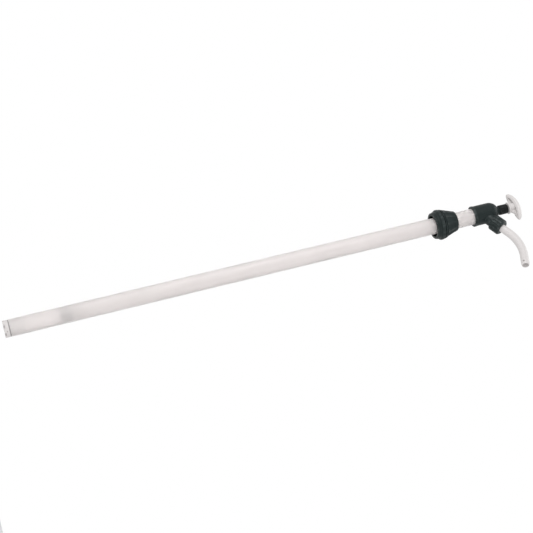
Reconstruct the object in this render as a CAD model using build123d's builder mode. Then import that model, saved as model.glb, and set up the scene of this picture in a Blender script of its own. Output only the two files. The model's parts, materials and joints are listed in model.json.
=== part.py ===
from build123d import *
from math import asin, cos, degrees, radians, sin, sqrt
import os

# Hand lift pump for drums: a long suction tube with a foot valve, a T-head with a swivelling
# spout, a piston on a rod with a T-grip, and a clamping adaptor that screws into the drum's bung.
# The pump stands on its own axis, +Z towards the grip. The origin is on that axis, in the
# middle plane of the bung thread. The spout lies in the +X half of the XZ plane.

# ---------------------------------------------------------------- driving dimensions (mm)
tube_radius = 16.0                 # 32 mm suction tube
bore_radius = 14.0                 # its bore, 2 mm wall
rod_radius = 4.0
bung_thread_radius = 30.15         # crest of the 2 inch bung thread
head_radius = 19.9
head_bead_radius = 20.5            # bead round the rim of the head's socket
head_rim_z = 71.5                  # open lower end of the head's socket
foot_end_z = -862.0                # tips of the foot's teeth
piston_z = -746.5                  # middle of the piston at the bottom of its stroke
outlet_z = 94.5                    # where the outlet's axis meets the pump's axis
outlet_angle = 65.0                # outlet's axis from +Z, towards +X
spout_radius = 8.0                 # 16 mm spout
spout_bore = 6.0
spout_bend_radius = 85.0
spout_bend = 44.0                  # degrees, bending back down
grip_angle = 5.0                   # direction of the T-grip's bar, from +X
grip_half_span = 32.5
grip_crown_z = 173.5

slip = 0.05                        # radial clearance of a running fit
gap = 0.3                          # between pieces that move past each other

# ---------------------------------------------------------------- levels worked out from those
foot_flange_z = foot_end_z + 9.4           # top of the foot's visible part
tube_bottom_z = foot_flange_z + 2.0        # the seal ring lies between foot and tube
tube_top_z = head_rim_z + 14.5             # end of the tube in the head's socket
foot_spigot_z = foot_end_z + 30.0          # top of the foot's spigot inside the tube
head_shoulder_z = head_rim_z + 36.5        # where the head's dome begins
neck_z = head_rim_z + 54.5                 # where the dome ends
nut_seat_z = head_rim_z + 58.0             # foot of the gland nut
neck_top_z = nut_seat_z + 11.5
gland_nut_top_z = nut_seat_z + 18.0
collar_z = gland_nut_top_z + 1.3
hub_z = collar_z + 2.4
cavity_top_z = head_shoulder_z + 6.0
packing_z = cavity_top_z + 10.0

outlet_dir = Vector(sin(radians(outlet_angle)), 0, cos(radians(outlet_angle)))
outlet_origin = Vector(0, 0, outlet_z)
outlet_axis = Axis(outlet_origin, outlet_dir)
# half-section plane of the turned pieces on the outlet: local x is the radius, local y the axis
outlet_section = Plane(origin=outlet_origin, x_dir=(outlet_dir.Z, 0, -outlet_dir.X), z_dir=(0, -1, 0))


def ring_section(r_in, r_out, low, high):
    """Half section of a plain ring or disc, in a sketch whose x is the radius."""
    with Locations(((r_in + r_out) / 2, (low + high) / 2)):
        Rectangle(r_out - r_in, high - low)


os.makedirs("parts", exist_ok=True)

# ================================================================ barrel
with BuildPart() as suction_tube:
    with BuildSketch(Plane.XZ):
        ring_section(bore_radius, tube_radius, tube_bottom_z, tube_top_z)
    revolve(axis=Axis.Z)
suction_tube.part.label = "suction_tube"
export_step(suction_tube.part, "parts/suction_tube.step")

# ---- foot: toothed inlet skirt, spigot in the tube, cone seat for the ball
ball_radius = 8.5
seat_bore = 5.5
seat_z = foot_end_z + 14.0                 # small end of the 45 degree seat
chamber_radius = 11.5
skirt_bore = 12.5
seat_rise = chamber_radius - seat_bore
tooth_count = 6
tooth_depth = 3.4
notch_width = 7.6
notch_angle = -10.0
side_hole_angle = -31.0

with BuildPart() as foot_body:
    with BuildSketch(Plane.XZ):
        with BuildLine():
            Polyline(
                (skirt_bore, foot_end_z),
                (tube_radius - 0.6, foot_end_z),
                (tube_radius, foot_end_z + 0.6),
                (tube_radius, foot_flange_z),
                (bore_radius, foot_flange_z),
                (bore_radius, foot_spigot_z),
                (chamber_radius, foot_spigot_z),
                (chamber_radius, seat_z + seat_rise),
                (seat_bore, seat_z),
                (seat_bore, seat_z - 2.0),
                (skirt_bore, foot_end_z + 8.0),
                close=True,
            )
        make_face()
    revolve(axis=Axis.Z)
    with BuildSketch(Plane.XY.offset(foot_end_z)):
        with PolarLocations(tube_radius, tooth_count, start_angle=notch_angle):
            Rectangle(2 * (tube_radius - skirt_bore) + 3.0, notch_width)
    extrude(amount=tooth_depth, mode=Mode.SUBTRACT)
    with PolarLocations(tube_radius, 3, start_angle=side_hole_angle):
        with Locations(Location((0, 0, foot_end_z + 5.6), (0, 90, 0))):
            Cylinder(1.3, 9.0, mode=Mode.SUBTRACT)
foot_body.part.label = "foot_body"
export_step(foot_body.part, "parts/foot_body.step")

with BuildPart() as foot_seal_ring:
    with BuildSketch(Plane.XZ):
        ring_section(bore_radius, tube_radius - 0.35, foot_flange_z, tube_bottom_z)
    revolve(axis=Axis.Z)
foot_seal_ring.part.label = "foot_seal_ring"
export_step(foot_seal_ring.part, "parts/foot_seal_ring.step")

# the ball's centre stands so that its surface clears the 45 degree cone by the gap
ball_z = seat_z - seat_bore + (ball_radius + gap) * sqrt(2)
ball_lift = 5.0

with BuildPart() as foot_valve_ball:
    with Locations((0, 0, ball_z)):
        Sphere(ball_radius)
foot_valve_ball.part.label = "foot_valve_ball"
export_step(foot_valve_ball.part, "parts/foot_valve_ball.step")

cage_bar_z = ball_z + ball_radius + ball_lift + gap
cage_bar = 2.4

with BuildPart() as foot_valve_cage:
    with BuildSketch(Plane.XZ):
        ring_section(chamber_radius, bore_radius, foot_spigot_z, cage_bar_z + cage_bar)
    revolve(axis=Axis.Z)
    with BuildSketch(Plane.XY.offset(cage_bar_z)):
        Circle(3.2)
        with PolarLocations((chamber_radius + 0.5) / 2, 3, start_angle=90):
            Rectangle(chamber_radius + 0.5, 2.4)
    extrude(amount=cage_bar)
foot_valve_cage.part.label = "foot_valve_cage"
export_step(foot_valve_cage.part, "parts/foot_valve_cage.step")

# ---- pump head: socket for the tube, domed top with the gland's neck, slanted outlet boss
boss_radius = 12.0
boss_end = 36.0                            # along the outlet's axis
boss_bore = 6.5
neck_radius = 8.0
neck_thread_radius = 7.4
box_radius = 5.6                           # stuffing box in the neck
bush_radius = 6.0
bead_height = 4.6
ring_groove_radius = tube_radius + 1.3
ring_groove_z = head_rim_z + 6.0
ring_groove_top_z = ring_groove_z + 2.6

with BuildPart() as pump_head:
    with BuildSketch(Plane.XZ):
        with BuildLine():
            foot_line = Polyline(
                (0, cavity_top_z),
                (0, head_rim_z),
                (head_bead_radius - 0.8, head_rim_z),
                (head_bead_radius, head_rim_z + 0.8),
                (head_bead_radius, head_rim_z + bead_height - 0.6),
                (head_radius, head_rim_z + bead_height),
                (head_radius, head_shoulder_z),
            )
            dome = TangentArc(foot_line @ 1, (neck_radius + 0.5, neck_z), tangent=(0, 1))
            Polyline(
                dome @ 1,
                (neck_radius, neck_z + 0.5),
                (neck_radius, nut_seat_z - gap),
                (neck_thread_radius, nut_seat_z - gap),
                (neck_thread_radius, neck_top_z),
                (0, neck_top_z),
                (0, cavity_top_z),
            )
        make_face()
    revolve(axis=Axis.Z)
    with BuildSketch(Plane(origin=outlet_origin, x_dir=(0, 1, 0), z_dir=outlet_dir)):
        Circle(boss_radius)
    extrude(amount=boss_end)
    # blend where the boss leaves the cylinder and the dome
    junction = pump_head.edges(Select.LAST).filter_by(GeomType.BSPLINE)
    fillet(junction, 1.6)
    # hollows: tube socket with its ring groove, cavity, guide seat, rod hole, stuffing box
    with BuildSketch(Plane.XZ):
        ring_section(0, tube_radius, head_rim_z, tube_top_z)
        ring_section(0, ring_groove_radius, ring_groove_z, ring_groove_top_z)
        with BuildLine():
            side = Line((bore_radius, tube_top_z - 0.1), (bore_radius, cavity_top_z - 8.0))
            crown = TangentArc(side @ 1, (bush_radius + 3.2, cavity_top_z), tangent=(0, 1))
            Polyline(crown @ 1, (0, cavity_top_z), (0, tube_top_z - 0.1), side @ 0)
        make_face()
        ring_section(0, bush_radius, cavity_top_z, cavity_top_z + 8.0)
        ring_section(0, rod_radius + 0.5, cavity_top_z + 8.0, packing_z)
        ring_section(0, box_radius, packing_z, neck_top_z)
    revolve(axis=Axis.Z, mode=Mode.SUBTRACT)
    with BuildSketch(Plane(origin=outlet_origin, x_dir=(0, 1, 0), z_dir=outlet_dir)):
        Circle(boss_bore)
    extrude(amount=boss_end, mode=Mode.SUBTRACT)
pump_head.part.label = "pump_head"
export_step(pump_head.part, "parts/pump_head.step")

with BuildPart() as head_o_ring:
    with BuildSketch(Plane.XZ):
        ring_section(tube_radius, ring_groove_radius, ring_groove_z, ring_groove_top_z)
    revolve(axis=Axis.Z)
head_o_ring.part.label = "head_o_ring"
export_step(head_o_ring.part, "parts/head_o_ring.step")

bush_flange_z = cavity_top_z - 1.5
with BuildPart() as rod_guide_bush:
    with BuildSketch(Plane.XZ):
        ring_section(rod_radius + slip, bush_radius, bush_flange_z, cavity_top_z + 8.0)
        ring_section(rod_radius + slip, bush_radius + 2.5, bush_flange_z, cavity_top_z)
    revolve(axis=Axis.Z)
rod_guide_bush.part.label = "rod_guide_bush"
export_step(rod_guide_bush.part, "parts/rod_guide_bush.step")

# ================================================================ gland
packing_top_z = packing_z + 10.0
with BuildPart() as gland_packing:
    with BuildSketch(Plane.XZ):
        ring_section(rod_radius + slip, box_radius, packing_z, packing_top_z)
    revolve(axis=Axis.Z)
gland_packing.part.label = "gland_packing"
export_step(gland_packing.part, "parts/gland_packing.step")

follower_flange_z = neck_top_z + gap
with BuildPart() as gland_follower:
    with BuildSketch(Plane.XZ):
        ring_section(rod_radius + slip, box_radius - gap, packing_top_z + gap, follower_flange_z + 2.0)
        ring_section(rod_radius + slip, neck_thread_radius, follower_flange_z, follower_flange_z + 2.0)
    revolve(axis=Axis.Z)
gland_follower.part.label = "gland_follower"
export_step(gland_follower.part, "parts/gland_follower.step")

gland_nut_radius = 9.8
gland_flutes = 12
with BuildPart() as gland_nut:
    with BuildSketch(Plane.XZ):
        with BuildLine():
            Polyline(
                (neck_thread_radius + gap, nut_seat_z),
                (gland_nut_radius - 0.5, nut_seat_z),
                (gland_nut_radius, nut_seat_z + 0.8),
                (gland_nut_radius - 0.2, gland_nut_top_z - 1.2),
                (gland_nut_radius - 1.3, gland_nut_top_z),
                (rod_radius + gap, gland_nut_top_z),
                (rod_radius + gap, follower_flange_z + 2.0 + gap),
                (neck_thread_radius + gap, follower_flange_z + 2.0 + gap),
                close=True,
            )
        make_face()
    revolve(axis=Axis.Z)
    with BuildSketch(Plane.XY.offset(nut_seat_z + 2.0)):
        with PolarLocations(gland_nut_radius + 0.9, gland_flutes):
            Circle(1.5)
    extrude(until=Until.LAST, mode=Mode.SUBTRACT)
gland_nut.part.label = "gland_nut"
export_step(gland_nut.part, "parts/gland_nut.step")

# ================================================================ piston
piston_half = 9.5
flange_thickness = 4.5
piston_low_z = piston_z - piston_half
piston_top_z = piston_z + piston_half
piston_core = 9.0
piston_flange = bore_radius - 0.5
port_radius = 1.7
port_circle = 6.5

with BuildPart() as piston_body:
    with BuildSketch(Plane.XZ):
        ring_section(rod_radius, piston_core, piston_low_z, piston_top_z)
        ring_section(rod_radius, piston_flange, piston_low_z, piston_low_z + flange_thickness)
        ring_section(rod_radius, piston_flange, piston_top_z - flange_thickness, piston_top_z)
    revolve(axis=Axis.Z)
    with BuildSketch(Plane.XY.offset(piston_low_z)):
        with PolarLocations(port_circle, 6):
            Circle(port_radius)
    extrude(amount=2 * piston_half, mode=Mode.SUBTRACT)
piston_body.part.label = "piston_body"
export_step(piston_body.part, "parts/piston_body.step")

cup_low_z = piston_low_z + flange_thickness + gap
cup_top_z = piston_top_z - flange_thickness - gap
with BuildPart() as piston_cup_seal:
    with BuildSketch(Plane.XZ):
        with BuildLine():
            Polyline(
                (piston_core + slip, cup_low_z),
                (bore_radius - 0.8, cup_low_z),
                (bore_radius - slip, cup_low_z + 2.0),
                (bore_radius - slip, cup_top_z),
                (bore_radius - 1.6, cup_top_z),
                (bore_radius - 2.2, cup_low_z + 3.5),
                (piston_core + 1.6, cup_low_z + 3.5),
                (piston_core + 1.2, cup_top_z),
                (piston_core + slip, cup_top_z),
                close=True,
            )
        make_face()
    revolve(axis=Axis.Z)
piston_cup_seal.part.label = "piston_cup_seal"
export_step(piston_cup_seal.part, "parts/piston_cup_seal.step")

disc_z = piston_top_z + gap
disc_thickness = 1.6
disc_lift = 4.0
with BuildPart() as piston_valve_disc:
    with BuildSketch(Plane.XZ):
        ring_section(rod_radius + 0.1, port_circle + port_radius + 1.6, disc_z, disc_z + disc_thickness)
    revolve(axis=Axis.Z)
    chamfer(piston_valve_disc.edges().group_by(Axis.Z)[-1].sort_by(SortBy.RADIUS)[-1], 0.5)
piston_valve_disc.part.label = "piston_valve_disc"
export_step(piston_valve_disc.part, "parts/piston_valve_disc.step")

stop_z = disc_z + disc_thickness + disc_lift + gap
with BuildPart() as valve_stop:
    with BuildSketch(Plane.XZ):
        ring_section(rod_radius, rod_radius + 3.8, stop_z, stop_z + 4.0)
    revolve(axis=Axis.Z)
    chamfer(valve_stop.edges().group_by(Axis.Z)[-1].sort_by(SortBy.RADIUS)[-1], 1.0)
valve_stop.part.label = "valve_stop"
export_step(valve_stop.part, "parts/valve_stop.step")

buffer_z = stop_z + 4.0
with BuildPart() as rod_buffer:
    with BuildSketch(Plane.XZ):
        ring_section(rod_radius, rod_radius + 5.0, buffer_z, buffer_z + 16.0)
    revolve(axis=Axis.Z)
    chamfer(rod_buffer.edges().group_by(Axis.Z)[-1].sort_by(SortBy.RADIUS)[-1], 1.5)
rod_buffer.part.label = "rod_buffer"
export_step(rod_buffer.part, "parts/rod_buffer.step")

nut_height = 5.5
with BuildPart() as piston_nut:
    with BuildSketch(Plane.XY.offset(piston_low_z - nut_height)):
        RegularPolygon(6.5, 6, major_radius=False)
        Circle(rod_radius, mode=Mode.SUBTRACT)
    extrude(amount=nut_height)
piston_nut.part.label = "piston_nut"
export_step(piston_nut.part, "parts/piston_nut.step")

rod_low_z = piston_low_z - nut_height - 1.5
rod_top_z = grip_crown_z - 7.0
pin_z = hub_z + 7.0
pin_radius = 1.25
with BuildPart() as piston_rod:
    with BuildSketch(Plane.XZ):
        ring_section(0, rod_radius, rod_low_z, rod_top_z)
    revolve(axis=Axis.Z)
    with Locations(Location((0, 0, pin_z), (0, 90, grip_angle + 90))):
        Cylinder(pin_radius, 3 * rod_radius, mode=Mode.SUBTRACT)
    chamfer(piston_rod.edges().group_by(Axis.Z)[0], 0.8)
piston_rod.part.label = "piston_rod"
export_step(piston_rod.part, "parts/piston_rod.step")

# ================================================================ handle
collar_radius = 12.0
with BuildPart() as handle_collar:
    with BuildSketch(Plane.XZ):
        ring_section(rod_radius, collar_radius, collar_z, hub_z)
    revolve(axis=Axis.Z)
    chamfer(handle_collar.edges().filter_by(GeomType.CIRCLE).sort_by(SortBy.RADIUS)[-2:], 0.6)
handle_collar.part.label = "handle_collar"
export_step(handle_collar.part, "parts/handle_collar.step")

# T-grip: an almond-shaped drooping saddle, lofted through its sections, on a round hub. It is cored
# from below by pockets on both sides of a middle web.
grip_x = Vector(cos(radians(grip_angle)), sin(radians(grip_angle)), 0)
grip_plane = Plane(origin=(0, 0, 0), x_dir=grip_x, z_dir=(grip_x.Y, -grip_x.X, 0))
saddle_half_width = 14.0
saddle_half_depth = 7.0
saddle_narrowing = 8.6                     # of the half width, from the middle to the tips
saddle_thinning = 2.6                      # of the half depth
saddle_droop_radius = 100.0                # of the saddle's centre line
saddle_stations = 13
web_thickness = 4.6
hub_radius = 8.8
pocket_ceiling = 5.2                       # under the crown
pocket_half_length = 25.0
pocket_half_width = 9.6
saddle_centre_z = grip_crown_z - saddle_half_depth - saddle_droop_radius
saddle_reach = degrees(asin(grip_half_span / saddle_droop_radius))
tip_z = saddle_centre_z + saddle_droop_radius * cos(radians(saddle_reach))

with BuildPart() as handle_grip:
    for station in range(saddle_stations):
        share = sin(radians(-88 + 176 * station / (saddle_stations - 1)))
        swing = radians(saddle_reach * share)
        cap = sqrt(1 - share**6)
        half_width = (saddle_half_width - saddle_narrowing * share**2) * cap
        half_depth = (saddle_half_depth - saddle_thinning * share**2) * cap
        along = grip_x * cos(swing) - Vector(0, 0, sin(swing))
        centre = grip_x * (saddle_droop_radius * sin(swing))
        centre += Vector(0, 0, saddle_centre_z + saddle_droop_radius * cos(swing))
        with BuildSketch(Plane(origin=centre, x_dir=grip_plane.z_dir, z_dir=along)):
            Ellipse(half_width, half_depth)
    loft()
    with BuildSketch(Plane(origin=(0, 0, tip_z - 12.0), x_dir=grip_x)):
        Ellipse(pocket_half_length, pocket_half_width)
        Rectangle(2 * grip_half_span, web_thickness, mode=Mode.SUBTRACT)
        Circle(hub_radius, mode=Mode.SUBTRACT)
    extrude(amount=grip_crown_z - pocket_ceiling - tip_z + 12.0, mode=Mode.SUBTRACT)
    # gusset that carries the web down to the hub's foot
    with BuildSketch(grip_plane):
        with BuildLine():
            foot = Polyline((-hub_radius - 1.0, hub_z), (hub_radius + 1.0, hub_z))
            flare = ThreePointArc(foot @ 1, (14.0, hub_z + 5.2), (grip_half_span - 9.0, tip_z - 1.0))
            back = Line(flare @ 1, (9.0 - grip_half_span, tip_z - 1.0))
            ThreePointArc(back @ 1, (-14.0, hub_z + 5.2), foot @ 0)
        make_face()
    extrude(amount=web_thickness / 2, both=True)
    with BuildSketch(Plane.XY.offset(hub_z)):
        Circle(hub_radius)
    extrude(amount=grip_crown_z - saddle_half_depth - hub_z)
    with BuildSketch(Plane.XY.offset(hub_z)):
        Circle(rod_radius)
    extrude(amount=rod_top_z - hub_z, mode=Mode.SUBTRACT)
    with Locations(Location((0, 0, pin_z), (0, 90, grip_angle + 90))):
        Cylinder(pin_radius, 3 * hub_radius, mode=Mode.SUBTRACT)
handle_grip.part.label = "handle_grip"
export_step(handle_grip.part, "parts/handle_grip.step")

with BuildPart() as handle_pin:
    with Locations(Location((0, 0, pin_z), (0, 90, grip_angle + 90))):
        Cylinder(pin_radius, 2 * hub_radius - 1.0)
    chamfer(handle_pin.edges().filter_by(GeomType.CIRCLE), 0.3)
handle_pin.part.label = "handle_pin"
export_step(handle_pin.part, "parts/handle_pin.step")

# ================================================================ bung adaptor
skirt_depth = 12.5
skirt_radius = 26.0
skirt_inner = 21.0
pilot_radius = 27.0
thread_half = 2.4
adaptor_bore = tube_radius + gap
neck_outer = 21.5
adaptor_neck_z = 4.4
adaptor_top_z = 18.5
seal_low_z = 6.2
seal_height = 3.6
seal_outer = tube_radius + 2.2
taper_low_z = 12.0
taper_slope = 0.2                          # radius gained per mm of the collet's taper
collet_low_radius = tube_radius + 1.3
collet_tip_z = taper_low_z + 0.6

with BuildPart() as bung_adaptor:
    with BuildSketch(Plane.XZ):
        with BuildLine():
            Polyline(
                (skirt_inner, -skirt_depth),
                (skirt_radius - 0.6, -skirt_depth),
                (skirt_radius, -skirt_depth + 0.8),
                (skirt_radius, -9.0),
                (pilot_radius, -8.0),
                (pilot_radius, -4.6),
                (bung_thread_radius, -thread_half),
                (bung_thread_radius, thread_half),
                (pilot_radius, adaptor_neck_z),
                (neck_outer, adaptor_neck_z),
                (neck_outer, adaptor_top_z - 0.8),
                (neck_outer - 0.8, adaptor_top_z),
                (collet_low_radius + gap + taper_slope * (adaptor_top_z - taper_low_z), adaptor_top_z),
                (collet_low_radius + gap, taper_low_z),
                (adaptor_bore, taper_low_z),
                (adaptor_bore, seal_low_z + seal_height + gap),
                (seal_outer + gap, seal_low_z + seal_height + gap),
                (seal_outer + gap, seal_low_z - gap),
                (adaptor_bore, seal_low_z - gap),
                (adaptor_bore, -4.0),
                (skirt_inner, -2.0),
                close=True,
            )
        make_face()
    revolve(axis=Axis.Z)
    crest = bung_adaptor.edges().filter_by(GeomType.CIRCLE).sort_by(SortBy.RADIUS)[-2:]
    chamfer(crest, 0.7)
bung_adaptor.part.label = "bung_adaptor"
export_step(bung_adaptor.part, "parts/bung_adaptor.step")

with BuildPart() as adaptor_seal:
    with BuildSketch(Plane.XZ):
        ring_section(tube_radius + slip, seal_outer, seal_low_z, seal_low_z + seal_height)
    revolve(axis=Axis.Z)
    chamfer(adaptor_seal.edges().filter_by(GeomType.CIRCLE).sort_by(SortBy.RADIUS)[-2:], 0.6)
adaptor_seal.part.label = "adaptor_seal"
export_step(adaptor_seal.part, "parts/adaptor_seal.step")

# split collet: taper in the adaptor's mouth, cone under the clamp nut
collet_top_z = 24.6
collet_radius = collet_low_radius + taper_slope * (adaptor_top_z - collet_tip_z)
slit_width = 2.4
with BuildPart() as clamp_ring:
    with BuildSketch(Plane.XZ):
        with BuildLine():
            Polyline(
                (tube_radius + slip, collet_tip_z),
                (collet_low_radius, collet_tip_z),
                (collet_radius, adaptor_top_z),
                (collet_radius, collet_top_z - 1.4),
                (collet_radius - 1.4, collet_top_z),
                (tube_radius + slip, collet_top_z),
                close=True,
            )
        make_face()
    revolve(axis=Axis.Z)
    with BuildSketch(Plane.XY.offset(collet_tip_z)):
        with Locations((tube_radius, 0)):
            Rectangle(10.0, slit_width)
    extrude(amount=collet_top_z - collet_tip_z, mode=Mode.SUBTRACT)
clamp_ring.part.label = "clamp_ring"
export_step(clamp_ring.part, "parts/clamp_ring.step")

# clamp nut: thick rim, scalloped cone and a rounded nose close round the tube
nut_low_z = 5.4
nut_rim_z = 9.5
cone_top_z = 28.5
nut_top_z = 35.0
nut_rim_radius = 28.8
cone_low_radius = 28.3
cone_top_radius = 21.5
scallops = 12
scallop_radius = 3.4
scallop_depth = 1.0
nut_bore = neck_outer + gap
collet_clear = collet_radius + gap

with BuildPart() as clamp_nut:
    with BuildSketch(Plane.XZ):
        with BuildLine():
            Polyline(
                (nut_bore, nut_low_z),
                (nut_rim_radius - 0.7, nut_low_z),
                (nut_rim_radius, nut_low_z + 0.7),
                (nut_rim_radius, nut_rim_z - 1.0),
                (cone_low_radius, nut_rim_z),
                (cone_top_radius, cone_top_z),
                (20.2, nut_top_z - 2.6),
            )
            ThreePointArc((20.2, nut_top_z - 2.6), (19.5, nut_top_z - 0.7), (17.8, nut_top_z))
            Polyline(
                (17.8, nut_top_z),
                (adaptor_bore + 0.1, nut_top_z),
                (adaptor_bore + 0.1, collet_top_z + gap),
                (collet_clear - 1.4, collet_top_z + gap),
                (collet_clear, collet_top_z - 1.4 + gap),
                (collet_clear, adaptor_top_z + 1.5),
                (nut_bore, adaptor_top_z + gap),
                (nut_bore, nut_low_z),
            )
        make_face()
    revolve(axis=Axis.Z)
    # scallops run down the cone, parallel to its side
    cone_run = cone_top_radius - cone_low_radius
    cone_rise = cone_top_z - nut_rim_z
    scallop_at = cone_low_radius + scallop_radius - scallop_depth
    for turn in range(scallops):
        spoke = Vector(cos(radians(turn * 360 / scallops)), sin(radians(turn * 360 / scallops)), 0)
        scallop_start = spoke * scallop_at + Vector(0, 0, nut_rim_z + 1.5)
        with BuildSketch(Plane(origin=scallop_start, z_dir=spoke * cone_run + Vector(0, 0, cone_rise))):
            Circle(scallop_radius)
        extrude(amount=30.0, mode=Mode.SUBTRACT)
clamp_nut.part.label = "clamp_nut"
export_step(clamp_nut.part, "parts/clamp_nut.step")

# ================================================================ spout and its union
union_low = 28.5                           # distances along the outlet's axis
union_high = 50.5
union_radius = 16.0
union_flutes = 16
washer_low = boss_end + gap
washer_high = washer_low + 1.2
flange_low = washer_high + gap
flange_high = flange_low + 3.4
spout_straight = 66.0                      # from the pump's axis to the start of the bend
spout_end_straight = 25.0
spout_flange = 11.4

with BuildPart() as spout_seal:
    with BuildSketch(outlet_section):
        ring_section(boss_bore, boss_radius - 0.8, washer_low, washer_high)
    revolve(axis=outlet_axis)
spout_seal.part.label = "spout_seal"
export_step(spout_seal.part, "parts/spout_seal.step")

tip_hole_radius = 2.1
tip_hole_back = 6.0
tip_hole_angle = 33.0                      # from -Y, turned towards the inner side of the bend
tip_taper = 4.0
tip_taper_depth = 1.1
outlet_slope = (outlet_dir.X, outlet_dir.Z)
with BuildPart() as spout_pipe:
    with BuildLine(Plane.XZ) as spout_path:
        run_in = Line(
            (outlet_slope[0] * flange_low, outlet_z + outlet_slope[1] * flange_low),
            (outlet_slope[0] * spout_straight, outlet_z + outlet_slope[1] * spout_straight),
        )
        bend = JernArc(run_in @ 1, outlet_slope, spout_bend_radius, -spout_bend)
        run_out = PolarLine(bend @ 1, spout_end_straight, direction=bend % 1)
    with BuildSketch(Plane(origin=run_in @ 0, x_dir=(0, 1, 0), z_dir=outlet_dir)):
        Circle(spout_radius)
    sweep()
    mouth = spout_pipe.faces().sort_by(Axis.X)[-1]
    chamfer(mouth.edges(), tip_taper_depth, tip_taper, reference=mouth)
    with BuildSketch(Plane(origin=run_in @ 0, x_dir=(0, 1, 0), z_dir=outlet_dir)):
        Circle(spout_flange)
    extrude(amount=flange_high - flange_low)
    with BuildSketch(Plane(origin=run_in @ 0, x_dir=(0, 1, 0), z_dir=outlet_dir)):
        Circle(spout_bore)
    sweep(path=spout_path.line, mode=Mode.SUBTRACT)
    # small side hole near the mouth, through one wall only
    inner_side = Vector((run_out % 1).Z, 0, -(run_out % 1).X)
    hole_dir = inner_side * sin(radians(tip_hole_angle)) - Vector(0, cos(radians(tip_hole_angle)), 0)
    hole_at = run_out @ 1 - (run_out % 1) * tip_hole_back
    with BuildSketch(Plane(origin=hole_at, z_dir=hole_dir)):
        Circle(tip_hole_radius)
    extrude(amount=2 * spout_radius, mode=Mode.SUBTRACT)
spout_pipe.part.label = "spout_pipe"
export_step(spout_pipe.part, "parts/spout_pipe.step")

with BuildPart() as union_nut:
    with BuildSketch(outlet_section):
        with BuildLine():
            Polyline(
                (boss_radius + gap, union_low),
                (union_radius - 0.8, union_low),
                (union_radius, union_low + 0.8),
                (union_radius, union_high - 2.6),
                (union_radius - 2.6, union_high),
                (spout_radius + gap, union_high),
                (spout_radius + gap, flange_high + gap),
                (boss_radius + gap, flange_high + gap),
                close=True,
            )
        make_face()
    revolve(axis=outlet_axis)
    flute_start = outlet_origin + outlet_dir * (union_low + 2.4)
    with BuildSketch(Plane(origin=flute_start, x_dir=(0, 1, 0), z_dir=outlet_dir)):
        with PolarLocations(union_radius + 1.0, union_flutes):
            Circle(1.8)
    extrude(amount=union_high, mode=Mode.SUBTRACT)
union_nut.part.label = "union_nut"
export_step(union_nut.part, "parts/union_nut.step")
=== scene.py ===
import json
from math import cos, pi, radians, sin

import bmesh
import bpy
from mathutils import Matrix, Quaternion, Vector


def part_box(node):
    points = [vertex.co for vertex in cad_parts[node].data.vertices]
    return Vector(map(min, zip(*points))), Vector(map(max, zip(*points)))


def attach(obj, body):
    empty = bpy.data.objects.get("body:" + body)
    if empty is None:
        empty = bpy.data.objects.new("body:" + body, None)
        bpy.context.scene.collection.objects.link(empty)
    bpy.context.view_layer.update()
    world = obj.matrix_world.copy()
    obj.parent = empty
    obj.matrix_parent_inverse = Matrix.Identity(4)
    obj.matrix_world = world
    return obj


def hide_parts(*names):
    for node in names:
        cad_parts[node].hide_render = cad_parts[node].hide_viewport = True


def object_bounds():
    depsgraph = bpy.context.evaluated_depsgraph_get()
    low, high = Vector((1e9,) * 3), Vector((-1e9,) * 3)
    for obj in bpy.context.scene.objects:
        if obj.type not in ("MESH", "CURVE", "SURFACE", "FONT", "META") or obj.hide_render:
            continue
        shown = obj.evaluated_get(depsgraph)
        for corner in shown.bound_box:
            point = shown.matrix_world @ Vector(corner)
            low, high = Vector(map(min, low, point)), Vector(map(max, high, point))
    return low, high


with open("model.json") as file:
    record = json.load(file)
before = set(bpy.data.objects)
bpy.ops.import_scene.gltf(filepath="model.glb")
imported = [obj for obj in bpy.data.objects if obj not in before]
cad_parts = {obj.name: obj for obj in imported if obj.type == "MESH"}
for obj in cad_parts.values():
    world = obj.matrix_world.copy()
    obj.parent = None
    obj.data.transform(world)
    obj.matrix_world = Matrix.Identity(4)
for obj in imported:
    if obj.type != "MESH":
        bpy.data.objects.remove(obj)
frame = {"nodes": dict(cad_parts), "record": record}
cad_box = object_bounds()
nodes = frame["nodes"]
scene = bpy.context.scene

# ------------------------------------------------------------------ camera
camera_place = Vector((1.4444, -1.7837, -0.8567))
camera_aim = Vector((0.0002, 0.0003, -0.3578))
camera_roll = radians(76.467)
focal_length = 83.02               # mm, on a 36 mm sensor

look = (camera_aim - camera_place).to_track_quat("-Z", "Y") @ Quaternion((0, 0, 1), camera_roll)
camera_data = bpy.data.cameras.new("camera")
camera_data.sensor_width = 36.0
camera_data.lens = focal_length
camera = bpy.data.objects.new("camera", camera_data)
camera.location = camera_place
camera.rotation_mode = "QUATERNION"
camera.rotation_quaternion = look
scene.collection.objects.link(camera)
scene.camera = camera

scene.view_settings.view_transform = "Standard"

# ------------------------------------------------------------------ studio
up_in_view = look @ Vector((0, 1, 0))
right_in_view = look @ Vector((1, 0, 0))
to_camera = look @ Vector((0, 0, 1))


def softbox(name, place, size, power):
    """A rectangular area light that faces the pump. The size is in metres and the power in watts."""
    data = bpy.data.lights.new(name, "AREA")
    data.shape = "RECTANGLE"
    data.size, data.size_y = size
    data.energy = power
    light = bpy.data.objects.new(name, data)
    light.location = place
    light.rotation_mode = "QUATERNION"
    light.rotation_quaternion = (camera_aim - place).to_track_quat("-Z", "Y")
    scene.collection.objects.link(light)


key_place = camera_aim + up_in_view * 1.6 + to_camera * 1.2 + right_in_view * 0.2
fill_place = camera_aim - up_in_view * 1.4 + to_camera * 1.5 + right_in_view * 0.9
overhead_place = Vector((0.0, 0.0, 1.9))
softbox("key", key_place, size=(2.2, 0.9), power=26.0)
softbox("fill", fill_place, size=(1.6, 1.2), power=15.0)
softbox("overhead", overhead_place, size=(1.6, 1.6), power=14.0)

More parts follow.
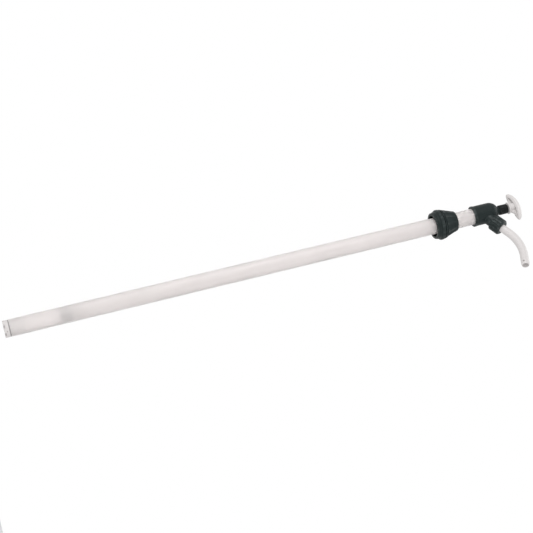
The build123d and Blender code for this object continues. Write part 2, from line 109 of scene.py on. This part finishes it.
# The room lights the pump, and the brighter backdrop is only what the camera sees behind it.
world = bpy.data.worlds.new("studio")
scene.world = world
world.use_nodes = True
tree = world.node_tree
tree.nodes.clear()


def white_background(strength):
    made = tree.nodes.new("ShaderNodeBackground")
    made.inputs["Color"].default_value = (1.0, 1.0, 1.0, 1)
    made.inputs["Strength"].default_value = strength
    return made


room = white_background(0.74)
backdrop = white_background(1.0)
path = tree.nodes.new("ShaderNodeLightPath")
seen = tree.nodes.new("ShaderNodeMixShader")
world_out = tree.nodes.new("ShaderNodeOutputWorld")
tree.links.new(path.outputs["Is Camera Ray"], seen.inputs["Fac"])
tree.links.new(room.outputs[0], seen.inputs[1])
tree.links.new(backdrop.outputs[0], seen.inputs[2])
tree.links.new(seen.outputs[0], world_out.inputs["Surface"])


# ------------------------------------------------------------------ materials
rgba_a, rgba_b, rgba_result = 6, 7, 2      # a Mix node's colour sockets, by their place in its lists


class Shader:
    """A Principled material with a few procedural helpers. Coordinates are the object's, in metres."""

    def __init__(self, name):
        self.material = bpy.data.materials.new(name)
        self.material.use_nodes = True
        self.tree = self.material.node_tree
        self.surface = self.tree.nodes["Principled BSDF"]
        self.place = self.node("ShaderNodeTexCoord").outputs["Object"]

    def node(self, kind, **values):
        made = self.tree.nodes.new(kind)
        for key, value in values.items():
            if hasattr(made, key):
                setattr(made, key, value)
            else:
                made.inputs[key].default_value = value
        return made

    def link(self, out, into):
        self.tree.links.new(out, into)

    def set(self, **sockets):
        for key, value in sockets.items():
            self.surface.inputs[key.replace("_", " ")].default_value = value

    def stretched(self, x, y, z):
        """The object's coordinates scaled along each axis, so that noise runs in streaks."""
        mapping = self.node("ShaderNodeMapping")
        mapping.inputs["Scale"].default_value = (x, y, z)
        self.link(self.place, mapping.inputs["Vector"])
        return mapping.outputs["Vector"]

    def noise(self, scale, detail, vector=None):
        texture = self.node("ShaderNodeTexNoise")
        texture.inputs["Scale"].default_value = scale
        texture.inputs["Detail"].default_value = detail
        self.link(vector or self.place, texture.inputs["Vector"])
        return texture.outputs["Fac"]

    def ranged(self, value, low, high, to_low, to_high):
        """Maps value from low..high to to_low..to_high."""
        made = self.node("ShaderNodeMapRange")
        limits = {"From Min": low, "From Max": high, "To Min": to_low, "To Max": to_high}
        for key, number in limits.items():
            made.inputs[key].default_value = number
        self.link(value, made.inputs["Value"])
        return made.outputs["Result"]

    def blend(self, share, first, second):
        """Mixes two colours or colour sockets by share: 0 is the first, 1 the second."""
        made = self.node("ShaderNodeMix", data_type="RGBA")
        self.link(share, made.inputs["Factor"])
        for source, socket in ((first, made.inputs[rgba_a]), (second, made.inputs[rgba_b])):
            if isinstance(source, tuple):
                socket.default_value = (*source, 1)
            else:
                self.link(source, socket)
        return made.outputs[rgba_result]

    def colour(self, source):
        self.link(source, self.surface.inputs["Base Color"])

    def roughness(self, source):
        self.link(source, self.surface.inputs["Roughness"])

    def bump(self, height, distance, strength, under=None):
        made = self.node("ShaderNodeBump")
        made.inputs["Distance"].default_value = distance
        made.inputs["Strength"].default_value = strength
        self.link(height, made.inputs["Height"])
        if under is not None:
            self.link(under, made.inputs["Normal"])
        return made.outputs["Normal"]

    def normal(self, source):
        self.link(source, self.surface.inputs["Normal"])

    def edges(self, low, high):
        """Where the surface is convex, from 0 to 1: there it is worn and takes a painted highlight."""
        point = self.node("ShaderNodeNewGeometry").outputs["Pointiness"]
        return self.ranged(point, low, high, 0.0, 1.0)


def natural_plastic(name, light, shade, streaks, rough, transmission, painted_glow):
    """Uncoloured polypropylene: milky, satin, a little uneven. Streaks run along the extrusion, and
    the emission is painted light, standing for the light that scatters about inside a thick wall."""
    s = Shader(name)
    cloud = s.noise(14.0, 3.0)
    along = s.noise(1.0, 2.0, s.stretched(*streaks))
    tone = s.blend(s.ranged(cloud, 0.3, 0.7, 0.0, 1.0), light, shade)
    tone = s.blend(s.ranged(along, 0.35, 0.75, 0.0, 0.35), tone, tuple(c * 0.95 for c in shade))
    s.colour(tone)
    s.roughness(s.ranged(s.noise(90.0, 3.0), 0.3, 0.7, rough - 0.06, rough + 0.06))
    fine = s.bump(s.noise(700.0, 2.0), 0.00001, 0.15)
    s.normal(s.bump(along, 0.0001, 0.4, under=fine))
    s.set(Transmission_Weight=transmission, IOR=1.49, Emission_Strength=painted_glow)
    s.set(Emission_Color=(1.0, 0.97, 0.96, 1))
    return s.material


def dark_plastic(name, base, rubbed_and_highlight, rough):
    """Dark moulded polypropylene with a fine spark-eroded grain, paler on convex edges: partly where
    it is handled, partly a painted highlight.
    """
    s = Shader(name)
    cloud = s.noise(30.0, 4.0)
    tone = s.blend(s.ranged(cloud, 0.3, 0.7, 0.0, 1.0), base, tuple(c * 1.35 for c in base))
    scuffs = s.ranged(s.noise(160.0, 5.0), 0.45, 0.75, 0.0, 1.0)
    # Scuffs on convex edges: the paler colour there is partly real wear and partly a painted
    # highlight.
    wear_and_highlight = s.node("ShaderNodeMath", operation="MULTIPLY")
    s.link(scuffs, wear_and_highlight.inputs[0])
    s.link(s.edges(0.505, 0.57), wear_and_highlight.inputs[1])
    s.colour(s.blend(wear_and_highlight.outputs[0], tone, rubbed_and_highlight))
    s.roughness(s.ranged(s.noise(220.0, 3.0), 0.3, 0.7, rough - 0.06, rough + 0.1))
    s.normal(s.bump(s.noise(2400.0, 2.0), 0.00005, 0.55))
    s.set(IOR=1.49, Specular_IOR_Level=0.22)
    return s.material


def moulded_rubber(name, base, bloom):
    """Matt rubber, clouded by a paler bloom."""
    s = Shader(name)
    s.colour(s.blend(s.noise(60.0, 3.0), base, bloom))
    s.roughness(s.ranged(s.noise(300.0, 2.0), 0.3, 0.7, 0.6, 0.8))
    s.normal(s.bump(s.noise(1800.0, 2.0), 0.00004, 0.6))
    return s.material


def brushed_steel(name):
    s = Shader(name)
    lines = s.noise(1.0, 2.0, s.stretched(2500, 2500, 60))
    s.colour(s.blend(lines, (0.52, 0.52, 0.53), (0.68, 0.68, 0.69)))
    s.roughness(s.ranged(lines, 0.3, 0.7, 0.22, 0.38))
    s.normal(s.bump(lines, 0.00002, 0.5))
    s.set(Metallic=1.0)
    return s.material


def pale_floor(name):
    s = Shader(name)
    s.colour(s.blend(s.noise(3.0, 2.0), (0.80, 0.80, 0.80), (0.84, 0.84, 0.84)))
    s.roughness(s.ranged(s.noise(8.0, 2.0), 0.3, 0.7, 0.6, 0.7))
    return s.material


tube_plastic = natural_plastic(
    "tube_plastic", light=(0.99, 0.955, 0.947), shade=(0.97, 0.935, 0.925),
    streaks=(260, 260, 2), rough=0.5, transmission=0.70, painted_glow=0.0,
)
# The white pieces glow a little, which is painted light that also lifts their shaded hollows. The
# spout glows more, which paints light into its shaded mouth.
white_plastic = natural_plastic(
    "white_plastic", light=(0.49, 0.468, 0.463), shade=(0.45, 0.428, 0.422),
    streaks=(30, 30, 30), rough=0.42, transmission=0.0, painted_glow=0.10,
)
spout_plastic = natural_plastic(
    "spout_plastic", light=(0.42, 0.40, 0.396), shade=(0.385, 0.366, 0.361),
    streaks=(30, 30, 30), rough=0.42, transmission=0.0, painted_glow=0.16,
)
slate_plastic = dark_plastic(
    "dark_plastic", base=(0.007, 0.012, 0.012), rubbed_and_highlight=(0.06, 0.073, 0.073), rough=0.38,
)
near_black_plastic = dark_plastic(
    "gland_plastic", base=(0.002, 0.003, 0.003), rubbed_and_highlight=(0.06, 0.07, 0.07), rough=0.36,
)
rubber = moulded_rubber("seal_rubber", base=(0.012, 0.012, 0.012), bloom=(0.03, 0.03, 0.028))
grey_rubber = moulded_rubber("grey_rubber", base=(0.24, 0.23, 0.23), bloom=(0.30, 0.29, 0.285))
pale_rubber = moulded_rubber("pale_rubber", base=(0.60, 0.58, 0.57), bloom=(0.66, 0.64, 0.63))
steel = brushed_steel("pin_steel")

by_slot = {
    "tube_plastic": tube_plastic,
    "white_plastic": white_plastic,
    "dark_plastic": slate_plastic,
    "seal_rubber": rubber,
    "ball_plastic": white_plastic,
    "pin_steel": steel,
}

# Pieces whose finish isn't their slot's. The piston's nut and stop stay pale, so that only the piston
# itself shows as a dark band through the tube.
by_node = {
    "gland_nut": near_black_plastic,
    "spout_pipe": spout_plastic,
    "piston_nut": white_plastic,
    "valve_stop": white_plastic,
    "foot_seal_ring": grey_rubber,
    "rod_buffer": pale_rubber,
}
smooth_angle = radians(32)         # facets that meet at more than this keep a sharp edge


def dress(thing, material):
    """Gives a piece one material all over and smooth shading up to its real edges."""
    thing.data.materials.clear()
    thing.data.materials.append(material)
    thing.data.shade_smooth()
    thing.data.set_sharp_from_angle(angle=smooth_angle)


for part in frame["record"]["subparts"]:
    name = part["node"]
    dress(nodes[name], by_node.get(name, by_slot[part["material_slot"]]))


def lathe(name, outline, dent, steps, body, material):
    """A closed turned piece. outline holds (radius, height, share): the first two in mm, and share
    the part of dent(angle), in mm too, that the radius loses at that height."""
    mesh = bmesh.new()
    rings = []
    for step in range(steps):
        angle = 2 * pi * step / steps
        ring = []
        for radius, height, share in outline:
            reach = (radius - share * dent(angle)) / 1000
            ring.append(mesh.verts.new((reach * cos(angle), reach * sin(angle), height / 1000)))
        rings.append(ring)
    for step in range(steps):
        here, there = rings[step], rings[(step + 1) % steps]
        for i in range(len(outline)):
            j = (i + 1) % len(outline)
            mesh.faces.new((here[i], there[i], there[j], here[j]))
    bmesh.ops.recalc_face_normals(mesh, faces=mesh.faces)
    data = bpy.data.meshes.new(name)
    mesh.to_mesh(data)
    mesh.free()
    piece = bpy.data.objects.new(name, data)
    scene.collection.objects.link(piece)
    dress(piece, material)
    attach(piece, body)
    return piece


# ------------------------------------------------------------------ clamp nut
# Beaded rim, groove and a cone whose scallops leave narrow ridges. Inside, from the bottom: room for
# the adaptor's neck, for the collet, and for the tube. Sizes in mm. The rim stands 0.4 mm further out
# and 0.6 mm lower than the CAD nut's.
nut_low, nut_high = (corner.z * 1000 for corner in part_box("clamp_nut"))
rim_drop = 0.6
neck_bore, collet_bore, tube_bore = 21.8, 18.8, 16.4
scallop_count = 12
scallop_depth = 1.9
scallop_width = radians(25)
nut_steps = 192


def scallop(angle):
    """Depth of the nearest scallop, a rounded hollow between two ridges, at an angle round the nut."""
    pitch = 2 * pi / scallop_count
    from_middle = (angle + pitch / 2) % pitch - pitch / 2
    return scallop_depth * max(0.0, 1 - (2 * from_middle / scallop_width) ** 2) ** 0.7


nut_outline = (
    (neck_bore, nut_low - rim_drop, 0),
    (28.5, nut_low - rim_drop, 0),
    (29.0, nut_low - 0.2, 0),
    (29.2, nut_low + 0.4, 0),
    (29.0, nut_low + 1.1, 0),
    (27.5, nut_low + 1.7, 0),
    (27.4, nut_low + 2.2, 0),
    (28.4, nut_low + 2.9, 0),
    (28.3, nut_low + 3.6, 0),
    (27.8, nut_low + 4.4, 1),
    (26.1, nut_low + 9.6, 1),
    (24.2, nut_low + 15.2, 0.9),
    (22.5, nut_low + 20.2, 0.7),
    (21.4, nut_high - 6.4, 0.2),
    (20.9, nut_high - 4.8, 0),
    (20.2, nut_high - 2.6, 0),
    (19.9, nut_high - 1.5, 0),
    (19.2, nut_high - 0.5, 0),
    (17.8, nut_high, 0),
    (tube_bore, nut_high, 0),
    (tube_bore, nut_high - 10.1, 0),
    (collet_bore - 1.4, nut_high - 10.1, 0),
    (collet_bore, nut_high - 11.5, 0),
    (collet_bore, nut_high - 15.0, 0),
    (neck_bore, nut_high - 16.2, 0),
)
nut_shell = lathe(
    "clamp_nut_shell", nut_outline, scallop, nut_steps,
    body="clamp_nut", material=slate_plastic,
)
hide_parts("clamp_nut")

# ------------------------------------------------------------------ floor
floor_radius = 2.2                 # its edge shows only at the lower left corner of the camera's view
floor_gap = 0.168                  # below the foot, so that the lowered tube clears it
floor_sides = 96
floor_z = cad_box[0].z - floor_gap
bpy.ops.mesh.primitive_circle_add(
    vertices=floor_sides, radius=floor_radius, fill_type="NGON", location=(0, 0, floor_z),
)
floor = bpy.context.object
floor.name = "floor"
floor.data.materials.append(pale_floor("pale_floor"))
